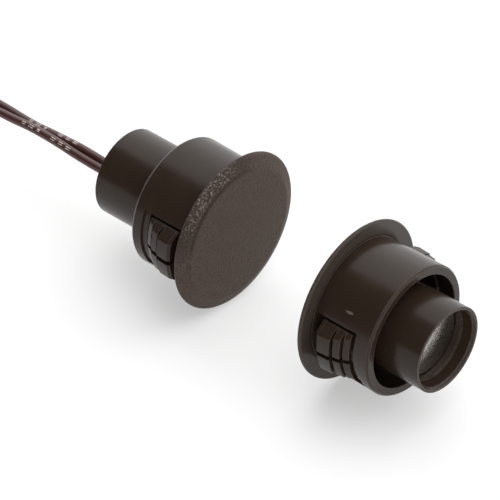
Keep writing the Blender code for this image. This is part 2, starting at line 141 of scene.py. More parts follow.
def make_world():
    """Plain soft light from all round, stronger from above and behind, and weak from the front left.

    The weak part is what the middle of the glossy barrels mirrors.
    """
    world = bpy.data.worlds.new("studio")
    bpy.context.scene.world = world
    world.use_nodes = True
    graph = Graph(world.node_tree)
    direction = graph.node("ShaderNodeTexCoord").outputs["Generated"]
    ceiling = graph.vector("DOT_PRODUCT", direction, tuple(CEILING_TOWARDS.normalized()))
    shade = graph.vector("DOT_PRODUCT", direction, tuple(SHADE_TOWARDS.normalized()))
    light = graph.spread(ceiling, 0.30, 0.95, SKY_LEVEL, CEILING_LEVEL)
    left = graph.spread(shade, 0.50, 0.70, 1.0, SHADE_LEVEL)
    background = world.node_tree.nodes["Background"].inputs
    graph.feed(background["Color"], (1.0, 1.0, 1.0))
    graph.feed(background["Strength"], graph.times(light, left))
    bpy.context.scene.view_settings.view_transform = "Standard"


def make_studio():
    """The light from all round, and a wide floor."""
    make_world()
    mesh = bpy.data.meshes.new("studio_floor")
    shape = bmesh.new()
    bmesh.ops.create_grid(shape, x_segments=8, y_segments=8, size=FLOOR_HALF_WIDTH_M)
    shape.to_mesh(mesh)
    shape.free()
    mesh.materials.append(floor_material())
    new_object("studio_floor", mesh)


# ---- node helpers


class Graph:
    """Short ways to add and join the nodes of one tree. Lengths in it are in millimetres."""

    def __init__(self, tree):
        self.tree = tree
        self.shader = tree.nodes.get("Principled BSDF")

    def node(self, kind, settings=None, **inputs):
        made = self.tree.nodes.new(kind)
        for name, value in (settings or {}).items():
            setattr(made, name, value)
        for name, value in inputs.items():
            self.feed(made.inputs[name.replace("_", " ")], value)
        return made

    def feed(self, socket, value):
        """Joins an output to a socket, or sets the socket to a number, vector or colour."""
        if isinstance(value, bpy.types.NodeSocket):
            self.tree.links.new(value, socket)
        elif hasattr(value, "__len__") and len(value) < len(socket.default_value):
            socket.default_value = (*value, 1.0)
        else:
            socket.default_value = value

    def math(self, operation, a, b=0.0, c=0.0):
        made = self.node("ShaderNodeMath", {"operation": operation})
        for socket, value in zip(made.inputs, (a, b, c)):
            self.feed(socket, value)
        return made.outputs[0]

    def times(self, first, *others):
        for other in others:
            first = self.math("MULTIPLY", first, other)
        return first

    def plus(self, a, b):
        return self.math("ADD", a, b)

    def vector(self, operation, a, b=(0.0, 0.0, 0.0)):
        made = self.node("ShaderNodeVectorMath", {"operation": operation})
        self.feed(made.inputs[0], a)
        self.feed(made.inputs[1], b)
        return made.outputs["Value" if operation in ("DOT_PRODUCT", "LENGTH", "DISTANCE") else "Vector"]

    def place(self, stretch=(1.0, 1.0, 1.0)):
        """Object coordinates in millimetres, stretched along the axes."""
        coordinates = self.node("ShaderNodeTexCoord").outputs["Object"]
        scale = tuple(1.0 / MM * s for s in stretch)
        return self.vector("MULTIPLY", coordinates, scale)

    def split(self, vector):
        return self.node("ShaderNodeSeparateXYZ", Vector=vector).outputs

    def noise(self, vector, scale, detail=3.0, roughness=0.55):
        """Noise from 0 to 1, with `scale` cells a millimetre."""
        settings = {"Scale": scale, "Detail": detail, "Roughness": roughness}
        return self.node("ShaderNodeTexNoise", Vector=vector, **settings).outputs["Fac"]

    def chance(self, number):
        """A fixed random number from 0 to 1 for each whole number."""
        return self.node("ShaderNodeTexWhiteNoise", {"noise_dimensions": "1D"}, W=number).outputs["Value"]

    def spread(self, value, low, high, to_low=0.0, to_high=1.0):
        """Goes smoothly from to_low, where value is low or less, to to_high."""
        made = self.node("ShaderNodeMapRange", {"interpolation_type": "SMOOTHSTEP", "clamp": True})
        for socket, number in zip(made.inputs, (value, low, high, to_low, to_high)):
            self.feed(socket, number)
        return made.outputs["Result"]

    def mix(self, factor, first, second):
        """The first colour where factor is 0, and the second where it is 1."""
        made = self.node("ShaderNodeMix", {"data_type": "RGBA"})
        self.feed(made.inputs[0], factor)
        self.feed(made.inputs[6], first)
        self.feed(made.inputs[7], second)
        return made.outputs[2]

    def bump(self, height, distance, normal=None):
        """A bump of `distance` millimetres where height goes from 0 to 1."""
        made = self.node("ShaderNodeBump", Height=height, Distance=distance * MM)
        if normal is not None:
            self.feed(made.inputs["Normal"], normal)
        return made.outputs["Normal"]

    def set(self, **inputs):
        for name, value in inputs.items():
            self.feed(self.shader.inputs[name.replace("_", " ")], value)


def new_material(name, **constants):
    """A material and its graph, with its constant values set on the shader."""
    material = bpy.data.materials.new(name)
    material.use_nodes = True
    graph = Graph(material.node_tree)
    graph.set(**constants)
    return material, graph


# ---- materials

# The side of each cap, as local (x, y), whose bevel gets painted shade and painted glints.
SHADE_AND_GLINT_TOWARDS = (0.85, 0.53)
SCUFF_AT = (5.45, -7.78, -5.2)
DASH_PITCH = 1.45
DASHES_IN_GROUP = 4.0
ROW_MIDDLE = 0.5


def floor_material():
    """Pale paper on a light table, which keeps the shadows under the units soft."""
    material, graph = new_material(
        "studio_paper", Roughness=0.9, Specular_IOR_Level=0.15, Emission_Strength=0.42,
    )
    graph.set(Emission_Color=(1.0, 1.0, 1.0))
    cloud = graph.noise(graph.place(), 0.02, 4.0)
    graph.set(Base_Color=graph.mix(cloud, (0.56, 0.56, 0.56), (0.58, 0.58, 0.58)))
    return material


class HousingMasks:
    """Where the parts of a unit's moulding are, from 0 to 1, in the unit's own millimetres."""

    def __init__(self, graph, place):
        z = graph.split(place)["Z"]
        flat = graph.vector("MULTIPLY", place, (1.0, 1.0, 0.0))
        from_axis = graph.vector("LENGTH", flat)
        self.edge = graph.node("ShaderNodeAttribute", {"attribute_name": "edge"}).outputs["Fac"]
        self.cap = graph.spread(z, 0.06, 0.3)
        self.bevel = graph.times(self.cap, graph.spread(from_axis, FACE_R + 0.15, FACE_R + 0.75))
        inside = graph.spread(from_axis, FACE_R - 0.55, FACE_R - 0.05)
        outside = graph.spread(from_axis, FACE_R + 0.15, FACE_R + 0.65, 1.0, 0.0)
        self.crease = graph.times(self.cap, inside, outside)
        # Which way a point faces round the axis: the cap's painted shade and painted glints go on one
        # side.
        outwards = graph.vector("NORMALIZE", flat)
        self.side = graph.vector("DOT_PRODUCT", outwards, (*SHADE_AND_GLINT_TOWARDS, 0.0))
        # The side where the cap's crease and bevel get painted shade.
        self.wear_and_shade = graph.spread(self.side, 0.55, 0.85)
        beyond_barrel = graph.spread(from_axis, BARREL_R + 0.1, BARREL_R + 0.5)
        # The flange's underside, which gets painted light from below.
        self.painted_underlight = graph.times(graph.spread(z, -0.1, -0.04), beyond_barrel)


def body_colour(graph, place, masks, cloud, specks):
    """Smooth brown plastic, paler on nicked edges, where the nicks also paint a broken highlight, paler on
    specks, and paler under the flange as painted light from below.
    """
    colour = graph.mix(cloud, (0.025, 0.015, 0.0098), (0.0315, 0.0196, 0.0132))
    # Worn nicks on the rounded edges, which also paint a broken highlight along them.
    nicks_and_edge_glint = graph.spread(graph.noise(place, 1.8, 3.0), 0.35, 0.65, 0.15, 0.65)
    colour = graph.mix(graph.times(masks.edge, nicks_and_edge_glint), colour, (0.085, 0.07, 0.06))
    colour = graph.mix(graph.times(specks, 0.25), colour, (0.09, 0.075, 0.062))
    # Painted light: the flange's underside is lightened as if lit from the floor below.
    return graph.mix(graph.times(masks.painted_underlight, 0.8), colour, (0.056, 0.045, 0.037))


def cap_colour(graph, place, masks, texture):
    """Grained brown plastic, with painted shade darkening the crease and the bevel on one side, and
    painted glints as sparkles on that side's bevel.
    """
    height = graph.spread(texture, 0.44, 0.8)
    colour = graph.mix(height, (0.0175, 0.0108, 0.0072), (0.0715, 0.049, 0.0362))
    # Painted shade: the crease and the bevel are darkened on one side.
    dark = graph.math("MAXIMUM", graph.times(masks.crease, 0.6), graph.times(masks.bevel, 0.5))
    colour = graph.mix(graph.times(dark, masks.wear_and_shade), colour, (0.014, 0.0095, 0.007))
    # Painted glints: bright sparkles on the bevel, mostly on one side.
    painted_glint = graph.spread(graph.noise(place, 3.6, 2.0, 0.7), 0.5, 0.62)
    painted_glint = graph.times(painted_glint, graph.spread(masks.side, 0.8, 0.97, 0.05, 0.75))
    return graph.mix(graph.times(masks.bevel, painted_glint), colour, (0.225, 0.19, 0.16))


def housing_material(name="housing_plastic", scuff_at=None):
    """Dark brown moulded plastic: a grain on the cap's outside with painted shade and glints on its bevel,
    and a soft gloss on the rest.
    """
    material, graph = new_material(name, IOR=1.5, Specular_IOR_Level=0.22)
    place = graph.place()
    masks = HousingMasks(graph, place)
    cloud = graph.noise(place, 0.35, 4.0)
    lines = graph.noise(graph.place((1.6, 1.6, 0.1)), 1.0, 3.0)
    specks = graph.spread(graph.noise(place, 2.6, 2.0), 0.7, 0.8)
    grain = graph.node("ShaderNodeTexVoronoi", Vector=place, Scale=4.2).outputs["Distance"]
    fine = graph.noise(place, 7.0, 3.0, 0.6)
    texture = graph.plus(graph.times(grain, 0.8), graph.times(fine, 0.6))
    body = body_colour(graph, place, masks, cloud, specks)
    colour = graph.mix(masks.cap, body, cap_colour(graph, place, masks, texture))

    body_rough = graph.spread(cloud, 0.25, 0.75, 0.17, 0.23)
    for extra, amount in ((lines, 0.06), (specks, 0.15), (masks.edge, 0.2)):
        body_rough = graph.plus(body_rough, graph.times(extra, amount))
    cap_rough = graph.spread(texture, 0.3, 0.9, 0.46, 0.62)
    rough = graph.plus(body_rough, graph.times(masks.cap, graph.math("SUBTRACT", cap_rough, body_rough)))

    peel = graph.noise(place, 0.9, 2.0)
    soft = graph.bump(graph.plus(graph.times(peel, 0.7), graph.times(lines, 0.3)), 0.018)
    normal = graph.bump(graph.times(texture, masks.cap), 0.085, soft)
    if scuff_at:
        mark = scuff_mask(graph, scuff_at)
        colour = graph.mix(graph.times(mark, 0.7), colour, (0.17, 0.14, 0.12))
        rough = graph.plus(rough, graph.times(mark, 0.25))
    graph.set(Base_Color=colour, Roughness=rough, Normal=normal)
    return material


def scuff_mask(graph, centre):
    """A short rubbed streak along the barrel at a point in the unit's own millimetres."""
    away = graph.vector("SUBTRACT", graph.place(), tuple(centre))
    away = graph.vector("MULTIPLY", away, (3.2, 3.2, 1.0))
    ragged = graph.times(graph.noise(graph.place((1.0, 1.0, 0.5)), 3.0, 3.0), 0.7)
    reach = graph.plus(graph.vector("LENGTH", away), ragged)
    return graph.spread(reach, 0.85, 1.25, 1.0, 0.0)


def potting_material():
    """Milky, slightly yellow resin."""
    material, graph = new_material("potting_resin", IOR=1.5, Subsurface_Weight=0.6, Subsurface_Scale=0.001)
    graph.set(Subsurface_Radius=(1.0, 0.8, 0.5))
    place = graph.place()
    cloud = graph.noise(place, 0.6, 4.0)
    graph.set(Base_Color=graph.mix(cloud, (0.62, 0.6, 0.52), (0.8, 0.79, 0.73)))
    graph.set(Roughness=graph.spread(cloud, 0.2, 0.8, 0.18, 0.34))
    graph.set(Normal=graph.bump(graph.noise(place, 1.2, 2.0), 0.02))
    return material


def print_mask(graph, place):
    """The worn ink: a row of dashes along the lead, some of them hollow, in groups with gaps."""
    parts = graph.split(graph.node("ShaderNodeUVMap", {"uv_map": "lead"}).outputs[0])
    steps = graph.math("DIVIDE", parts["X"], DASH_PITCH)
    cell = graph.math("FLOOR", steps)
    within = graph.math("FRACT", steps)
    chance = graph.chance(cell)
    group = graph.math("FLOOR", graph.math("DIVIDE", cell, DASHES_IN_GROUP))
    in_group = graph.math("SUBTRACT", cell, graph.times(group, DASHES_IN_GROUP))
    no_gap = graph.math("LESS_THAN", in_group, DASHES_IN_GROUP - 1.5)

    half_length = graph.spread(chance, 0.0, 1.0, 0.16, 0.34)
    from_middle = graph.math("ABSOLUTE", graph.math("SUBTRACT", within, 0.5))
    in_dash = graph.spread(graph.math("SUBTRACT", half_length, from_middle), -0.015, 0.015)
    height = graph.math("ABSOLUTE", graph.math("SUBTRACT", parts["Y"], ROW_MIDDLE))
    in_row = graph.spread(height, 0.05, 0.062, 1.0, 0.0)
    hollow = graph.spread(height, 0.014, 0.024)
    filled = graph.math("MAXIMUM", hollow, graph.math("LESS_THAN", chance, 0.45))

    wear_and_shade = graph.spread(graph.noise(place, 5.0, 3.0), 0.36, 0.52)
    printed = graph.math("GREATER_THAN", graph.chance(group), 0.25)
    return graph.times(in_dash, in_row, filled, wear_and_shade, no_gap, printed)


def lead_material(letter):
    """Red-brown insulation with a row of worn white dashes along it."""
    material, graph = new_material(f"lead_insulation_{letter}", IOR=1.52)
    place = graph.place()
    ink = print_mask(graph, place)
    cloud = graph.noise(place, 0.8, 3.0)
    colour = graph.mix(cloud, (0.048, 0.015, 0.0115), (0.068, 0.024, 0.019))
    colour = graph.mix(ink, colour, (0.52, 0.45, 0.42))
    rough = graph.plus(graph.spread(cloud, 0.2, 0.8, 0.28, 0.38), graph.times(ink, 0.25))
    height = graph.plus(graph.noise(place, 1.4, 2.0), graph.times(ink, 0.4))
    graph.set(Base_Color=colour, Roughness=rough, Normal=graph.bump(height, 0.012))
    return material


def metal_material(name, dark, light, roughness, scratch=(3.0, 3.0, 0.3), relief=0.006):
    """Bare or plated metal with fine marks along one direction."""
    material, graph = new_material(name, Metallic=1.0)
    marks = graph.noise(graph.place(scratch), 2.0, 4.0)
    cloud = graph.noise(graph.place(), 0.7, 3.0)
    graph.set(Base_Color=graph.mix(cloud, dark, light))
    graph.set(Roughness=graph.spread(marks, 0.3, 0.7, roughness - 0.08, roughness + 0.1))
    graph.set(Normal=graph.bump(marks, relief))
    return material


def magnet_material():
    """Ground and plated magnet: a dull mirror with a coarse pitted grain."""
    material, graph = new_material("magnet_plating", Metallic=1.0)
    place = graph.place()
    pits = graph.spread(graph.noise(place, 4.2, 4.0, 0.7), 0.35, 0.65)
    cloud = graph.noise(place, 0.5, 3.0)
    graph.set(Base_Color=graph.mix(pits, (0.22, 0.21, 0.19), (0.9, 0.86, 0.78)))
    graph.set(Roughness=graph.spread(cloud, 0.2, 0.8, 0.03, 0.07))
    graph.set(Normal=graph.bump(pits, 0.006))
    return material


def plain_material(name, dark, light, roughness, cells=1.0, relief=0.02, **constants):
    """A non-metal whose colour, gloss and relief vary with a soft cloud."""
    material, graph = new_material(name, **constants)
    cloud = graph.noise(graph.place(), cells, 4.0)
    graph.set(Base_Color=graph.mix(cloud, dark, light))
    graph.set(Roughness=graph.spread(cloud, 0.2, 0.8, roughness - 0.05, roughness + 0.07))
    graph.set(Normal=graph.bump(cloud, relief))
    return material


def glass_material():
    """Clear greenish glass with faint waves."""
    material, graph = new_material("reed_glass", IOR=1.5, Transmission_Weight=0.9)
    cloud = graph.noise(graph.place(), 0.8, 3.0)
    graph.set(Base_Color=graph.mix(cloud, (0.55, 0.8, 0.62), (0.72, 0.92, 0.78)))
    graph.set(Roughness=graph.spread(cloud, 0.2, 0.8, 0.02, 0.07))
    graph.set(Normal=graph.bump(graph.noise(graph.place((1.0, 1.0, 0.2)), 1.0, 2.0), 0.01))
    return material


# ---- mesh helpers


def rounded(corners, step=12.0, support=0.04):
    """A section's (radius, z, rounding) corners as (radius, z, on an edge) points, with arcs at them.

    A support point on each side of an arc keeps the flat surface next to it flat when it is shaded smooth.
    """
    points = []
    for i, (r, z, size) in enumerate(corners):
        here = Vector((r, z))
        if size == 0 or i in (0, len(corners) - 1):
            points.append((r, z, 0.0))
            continue
        before = Vector(corners[i - 1][:2]) - here
        after = Vector(corners[i + 1][:2]) - here
        between = before.angle(after)
        reach = size / tan(between / 2)
        centre = here + (before.normalized() + after.normalized()).normalized() * size / sin(between / 2)
        start = here + before.normalized() * reach
        end = here + after.normalized() * reach
        turn = (start - centre).angle_signed(end - centre)
        count = max(2, ceil(abs(degrees(turn)) / step))
        spoke = start - centre
        points.append((*(start + before.normalized() * support), 0.0))
        for k in range(count + 1):
            angle = -turn * k / count
            x = spoke.x * cos(angle) - spoke.y * sin(angle)
            y = spoke.x * sin(angle) + spoke.y * cos(angle)
            points.append((centre.x + x, centre.y + y, 1.0))
        points.append((*(end + after.normalized() * support), 0.0))
    return points


def with_rows(points, radius, depths):
    """Adds points at these depths to the section's straight run at a radius."""
    found = [points[0]]
    for before, after in zip(points, points[1:]):
        on_run = abs(before[0] - radius) < 1e-4 and abs(after[0] - radius) < 1e-4
        low, high = sorted((before[1], after[1]))
        inside = [d for d in depths if low + 1e-4 < -d < high - 1e-4] if on_run else []
        inside.sort(reverse=after[1] > before[1])
        found += [(radius, -d, 0.0) for d in inside]
        found.append(after)
    return found


def new_object(name, data, matrix=Matrix()):
    """An object in the scene, on the world's axes if no matrix is given."""
    obj = bpy.data.objects.new(name, data)
    bpy.context.scene.collection.objects.link(obj)
    obj.matrix_world = matrix
    return obj


def add_piece(name, mesh, material, body, nodes, matrix=Matrix()):
    """A visual piece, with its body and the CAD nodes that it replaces."""
    obj = new_object(name, mesh, matrix)
    mesh.materials.append(material)
    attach(obj, body)
    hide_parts(*nodes)
    return obj


def finish_mesh(shape, name, sharp=None):
    """A smooth-shaded mesh from a bmesh, with edges over `sharp` degrees kept sharp."""
    bmesh.ops.recalc_face_normals(shape, faces=shape.faces)
    mesh = bpy.data.meshes.new(name)
    shape.to_mesh(mesh)
    shape.free()
    mesh.shade_smooth()
    if sharp:
        mesh.set_sharp_from_angle(angle=radians(sharp))
    return mesh


def join_rings(shape, rings):
    """Faces between each ring of vertices and the next. A ring may be one vertex on the axis."""
    for upper, lower in zip(rings, rings[1:]):
        count = max(len(upper), len(lower))
        for i in range(count):
            j = (i + 1) % count
            if len(upper) == 1:
                shape.faces.new((upper[0], lower[i], lower[j]))
            elif len(lower) == 1:
                shape.faces.new((upper[i], lower[0], upper[j]))
            else:
                shape.faces.new((upper[i], lower[i], lower[j], upper[j]))


def round_axis(r, angle, z):
    """The point in metres at a radius and height in millimetres and an angle in degrees."""
    turn = radians(angle)
    return r * cos(turn) * MM, r * sin(turn) * MM, z * MM


def revolved(section, angles, closed=False):
    """A bmesh of a section turned about local Z, and its rings of vertices. Angles are in degrees."""
    shape = bmesh.new()
    edge = shape.verts.layers.float.new("edge")
    rings = []
    for r, z, on_edge in section:
        ring = [shape.verts.new(round_axis(r, a, z)) for a in ([0.0] if r < 1e-6 else angles)]
        for vert in ring:
            vert[edge] = on_edge
        rings.append(ring)
    join_rings(shape, rings + rings[:1] if closed else rings)
    return shape, rings


def even_angles(count):
    """Angles in degrees, evenly spaced over a full turn."""
    return [360.0 * i / count for i in range(count)]


def turned_mesh(name, section, steps=TURN_STEPS, place=(0, 0), closed=False):
    """A section turned about an axis beside the unit's own, at (up, across) millimetres."""
    shape, _ = revolved(section, even_angles(steps), closed)
    bmesh.ops.translate(shape, vec=(place[0] * MM, place[1] * MM, 0), verts=shape.verts)
    return finish_mesh(shape, name)


def smooth_points(points, spacing):
    """Points about `spacing` apart on a Catmull-Rom curve through the route's points."""
    route = [Vector(p) for p in points]
    route = [2 * route[0] - route[1], *route, 2 * route[-1] - route[-2]]
    found = [route[1]]
    for before, start, end, after in zip(route, route[1:], route[2:], route[3:]):
        pieces = max(1, round((end - start).length / spacing))
        for i in range(1, pieces + 1):
            t = i / pieces
            found.append(0.5 * (
                2 * start
                + (end - before) * t
                + (2 * before - 5 * start + 4 * end - after) * t**2
                + (3 * start - before - 3 * end + after) * t**3
            ))
    return found


def swept_mesh(name, path, radius, sides=24, uneven=0.0, seed=0.0, first_side=Vector((0, 0, -1))):
    """A tube along a path in millimetres. Its UV map has millimetres along and turns round."""
    shape = bmesh.new()
    uv = shape.loops.layers.uv.new("lead")
    rings, lengths = [], []
    reach, travelled = first_side, 0.0
    for i, point in enumerate(path):
        ahead = (path[min(i + 1, len(path) - 1)] - path[max(i - 1, 0)]).normalized()
        reach = (reach - ahead * reach.dot(ahead)).normalized()
        other = ahead.cross(reach)
        travelled += (point - path[i - 1]).length if i else 0.0
        lengths.append(travelled)
        wave = 1.0 + uneven * noise.noise(Vector((travelled * WAVES_PER_MM, seed, 0.0)))
        ring = []
        for k in range(sides):
            turn = 2 * pi * k / sides
            offset = (reach * cos(turn) + other * sin(turn)) * radius * wave
            ring.append(shape.verts.new((point + offset) * MM))
        rings.append(ring)
    for i, (near, far) in enumerate(zip(rings, rings[1:])):
        for k in range(sides):
            j = (k + 1) % sides
            face = shape.faces.new((near[k], near[j], far[j], far[k]))
            spots = ((i, k), (i, k + 1), (i + 1, k + 1), (i + 1, k))
            for loop, (row, column) in zip(face.loops, spots):
                loop[uv].uv = (lengths[row], column / sides)
    for ring, sign in ((rings[0], -1), (rings[-1], 1)):
        shape.faces.new(ring[::sign])
    return finish_mesh(shape, name, sharp=50)


# ---- the two units


class Unit:
    """A unit's axis and sizes, read from its housing in the frame."""

    def __init__(self, name, face_direction):
        low, high = (Vector(corner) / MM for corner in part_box(f"{name}_housing"))
        cap = high.x if face_direction > 0 else low.x
        tube_end = low.x if face_direction > 0 else high.x
        self.name = name
        self.body = f"{name}_unit"
        self.seat_x = cap - face_direction * CAP_HEIGHT
        self.axis_z = (low.z + high.z) / 2
        self.flange_r = (high.z - low.z) / 2
        self.tube_depth = abs(self.seat_x - tube_end)
        self.mouth = self.tube_mouth()
        up, out = Vector((0, 0, 1)), Vector((face_direction, 0, 0))
        turn = Matrix((up, out.cross(up), out)).transposed().to_4x4()
        self.matrix = Matrix.Translation(Vector((self.seat_x, 0, self.axis_z)) * MM) @ turn

    def tube_mouth(self):
        """The inner edge of the tube's end: a soft funnel behind a thin rim on the magnet unit."""
        if self.name == "switch":
            return [(TUBE_BORE_R, -self.tube_depth, 0.14)]
        return [
            (MAGNET_MOUTH_R, -self.tube_depth, 0.12),
            (MAGNET_MOUTH_R - MAGNET_LIP, 0.40 - self.tube_depth, 0.40),
            (TUBE_BORE_R, MAGNET_MOUTH_DEPTH - self.tube_depth, 2.0),
        ]

    def local(self, point):
        """A world point in metres as millimetres on the unit's own axes."""
        return self.matrix.inverted() @ Vector(point) / MM

    def finger_angle(self, body):
        """The angle round the axis, in degrees, of a finger's hinge."""
        hinge = next(joint for joint in frame["joints"] if joint["child"] == body)
        place = self.local(hinge["pos_m"])
        return degrees(atan2(place.y, place.x)) % 360


# Depths and radii of the windows in a barrel, of the pad beyond each window and of the fingers. A ridge is
# given by its two ends, and the grooves between ridges have sides that lean by GROOVE_LEAN.
CROWN = 0.17
WINDOW_NEAR, WINDOW_FAR, ROW_COUNT = 0.41, 7.15, 7
WINDOW_ROWS = [WINDOW_NEAR + (WINDOW_FAR - WINDOW_NEAR) * i / (ROW_COUNT - 1) for i in range(ROW_COUNT)]
WINDOW_ANGLE = degrees(asin(WINDOW_HALF_WIDTH / BARREL_R))
WINDOW_INNER_ANGLE = degrees(asin(WINDOW_HALF_WIDTH / BARREL_BORE_R))
WINDOW_SHIFT_OVER = 8.0
PAD_FAR, PAD_STEP, PAD_WALL = 8.1, 0.28, 0.07
PAD_SIDE_ANGLE = 0.45
BARREL_FLARE = 0.22
COLUMN_SPACING = 1.5
FINGER_NEAR, FINGER_FAR = 1.75, 6.75
FINGER_TOP_RS = (10.72, 9.75)
FINGER_RIDGES = (
    ((FINGER_NEAR + 0.45, 11.0, 0.10), (4.12, 10.86, 0.06)),
    ((4.47, 10.56, 0.06), (5.55, 10.38, 0.06)),
    ((5.88, 10.10, 0.06), (FINGER_FAR, FINGER_TOP_RS[1], 0.06)),
)
GROOVE_R, GROOVE_LEAN, GROOVE_ROUNDING = 9.66, 0.05, 0.04
FINGER_END_ROUNDING = 0.06
FINGER_FOOT_RELIEF = 0.08
FINGER_SIDE_ROUNDING = 0.12
FINGER_BLEND = 0.14
FINGER_ANGLE = degrees(asin(FINGER_HALF_WIDTH / BARREL_R))
SLOT_HALF_ANGLE, SLOT_R = 1.9, 9.25


def housing_section(unit):
    """The moulding's section, from the face's middle down its outside and up inside the tube."""
    rows = 24
    face = [(FACE_R * 0.985 * t / rows, CAP_HEIGHT - CROWN * (t / rows) ** 2, 0) for t in range(rows + 1)]
    rim = unit.flange_r
    corners = [
        face[-1],
        (FACE_R, CAP_HEIGHT - CROWN - 0.03, 0.5),
        (rim - 0.22, 0.66, 0.35),
        (rim, 0.40, 0.25),
        (rim, 0.12, 0.10),
        (rim - 0.17, 0.0, 0.08),
        (BARREL_R, 0.0, 0.05),
        (BARREL_R, -(BARREL_DEPTH - 0.35), 0.10),
        (BARREL_R - 0.25, -BARREL_DEPTH, 0.08),
        (BARREL_BORE_R, -BARREL_DEPTH, 0.12),
        (BARREL_BORE_R, -INNER_FLOOR_DEPTH, 0.05),
        (TUBE_RS[unit.name], -INNER_FLOOR_DEPTH, 0.10),
        (TUBE_RS[unit.name], -unit.tube_depth, 0.12),
        *unit.mouth,
        (TUBE_BORE_R, -INNER_FLOOR_DEPTH, 0.10),
        (0, -INNER_FLOOR_DEPTH, 0),
    ]
    return face[:-1] + rounded(corners)


def angle_between(a, b):
    """From b to a in degrees, from -180 to 180."""
    return (a - b + 180) % 360 - 180


def housing_angles(fingers_at):
    """Even steps round the unit, with columns at the sides of the windows and pads."""
    offsets = [side * a for side in (-1, 1) for a in (WINDOW_ANGLE, WINDOW_ANGLE + PAD_SIDE_ANGLE)]
    exact = [(centre + offset) % 360 for centre in fingers_at for offset in offsets]
    even = even_angles(round(360 / COLUMN_SPACING))
    room = COLUMN_SPACING * 0.45
    return sorted(exact + [a for a in even if all(abs(angle_between(a, e)) > room for e in exact)])


def cut_windows(shape, rings, section, angles, fingers_at):
    """Opens the windows through the barrel's wall, and adds their sides."""
    outer = ring_rows(section, BARREL_R)
    inner = ring_rows(section, BARREL_BORE_R)
    count = len(angles)
    for centre in fingers_at:
        first, last = (
            min(range(count), key=lambda i: abs(angle_between(angles[i], side)))
            for side in (centre - WINDOW_ANGLE, centre + WINDOW_ANGLE)
        )
        columns = [(first + k) % count for k in range((last - first) % count + 1)]
        doomed = []
        for rows in (outer, inner):
            for near, far in zip(rows, rows[1:]):
                for i, j in zip(columns, columns[1:]):
                    corners = {rings[near][i], rings[near][j], rings[far][i], rings[far][j]}
                    doomed += [f for f in rings[near][i].link_faces if set(f.verts) == corners]
        bmesh.ops.delete(shape, geom=doomed, context="FACES")
        border = [(row, columns[0]) for row in range(len(outer))]
        border += [(len(outer) - 1, column) for column in columns[1:]]
        border += [(row, columns[-1]) for row in range(len(outer) - 2, -1, -1)]
        border += [(0, column) for column in columns[-2:0:-1]]
        for (row, column), (next_row, next_column) in zip(border, border[1:] + border[:1]):
            shape.faces.new((
                rings[outer[row]][column], rings[outer[next_row]][next_column],
                rings[inner[next_row]][next_column], rings[inner[row]][column],
            ))


def ring_rows(section, radius):
    """The section's points at the windows' rows on one radius, from the flange down."""
    rows = []
    for depth in WINDOW_ROWS:
        near = [abs(r - radius) < 1e-4 and abs(z + depth) < 1e-4 for r, z, _ in section]
        rows.append(near.index(True))
    return rows


def square_windows(rings, section, angles, fingers_at):
    """Makes the windows' sides parallel, so that a turned finger clears them."""
    limit = WINDOW_INNER_ANGLE + WINDOW_SHIFT_OVER
    for row in ring_rows(section, BARREL_BORE_R):
        z = section[row][1]
        for vert, angle in zip(rings[row], angles):
            for centre in fingers_at:
                off = angle_between(angle, centre)
                if not WINDOW_ANGLE - 0.01 < abs(off) < limit:
                    continue
                part = (abs(off) - WINDOW_ANGLE) / (limit - WINDOW_ANGLE)
                moved = WINDOW_INNER_ANGLE + part * (limit - WINDOW_INNER_ANGLE)
                vert.co = round_axis(BARREL_BORE_R, centre + copysign(moved, off), z)


def sink_pads(rings, section, angles, fingers_at):
    """Lowers the shallow pad between each window and the barrel's end."""
    for ring, (r, z, _) in zip(rings, section):
        if abs(r - BARREL_R) > 1e-4 or not WINDOW_FAR - 1e-4 <= -z <= PAD_FAR + 1e-4:
            continue
        for vert, angle in zip(ring, angles):
            if any(abs(angle_between(angle, c)) < WINDOW_ANGLE + 0.01 for c in fingers_at):
                vert.co.xy *= (BARREL_R - PAD_STEP) / BARREL_R


def flare_barrel(rings, section):
    """Widens the barrel's outside a little towards its free end."""
    for ring, (r, z, _) in zip(rings, section):
        if r < BARREL_R - 0.4 or z > 0:
            continue
        for vert in ring:
            if vert.is_valid:
                vert.co.xy *= 1 - BARREL_FLARE * z / BARREL_DEPTH / r


def add_housing(unit, fingers_at, material):
    """A unit's moulding without its fingers."""
    section = housing_section(unit)
    pad_rows = [WINDOW_FAR + 0.7, PAD_FAR, PAD_FAR + PAD_WALL]
    section = with_rows(section, BARREL_R, WINDOW_ROWS + pad_rows)
    section = with_rows(section, BARREL_BORE_R, WINDOW_ROWS)
    angles = housing_angles(fingers_at)
    shape, rings = revolved(section, angles)
    cut_windows(shape, rings, section, angles, fingers_at)
    square_windows(rings, section, angles, fingers_at)
    sink_pads(rings, section, angles, fingers_at)
    flare_barrel(rings, section)
    name = f"{unit.name}_shell"
    mesh = finish_mesh(shape, name, sharp=35)
    add_piece(name, mesh, material, unit.body, [f"{unit.name}_housing"], unit.matrix)


# ---- snap fingers


def finger_section():
    """The finger's outer side along the barrel: three ridges that rise towards the flange."""
    corners = [(FINGER_INNER_R, -FINGER_NEAR, 0), (FINGER_TOP_RS[0], -FINGER_NEAR, FINGER_END_ROUNDING)]
    for ridge in FINGER_RIDGES:
        if ridge is not FINGER_RIDGES[0]:
            corners.append((GROOVE_R, -(ridge[0][0] - GROOVE_LEAN), GROOVE_ROUNDING))
        corners += [(r, -depth, rounding) for depth, r, rounding in ridge]
        if ridge is not FINGER_RIDGES[-1]:
            corners.append((GROOVE_R, -(ridge[1][0] + GROOVE_LEAN), GROOVE_ROUNDING))
    corners.append((FINGER_INNER_R, -(FINGER_FAR - FINGER_FOOT_RELIEF), 0))
    return rounded(corners, step=22.0, support=0.03)


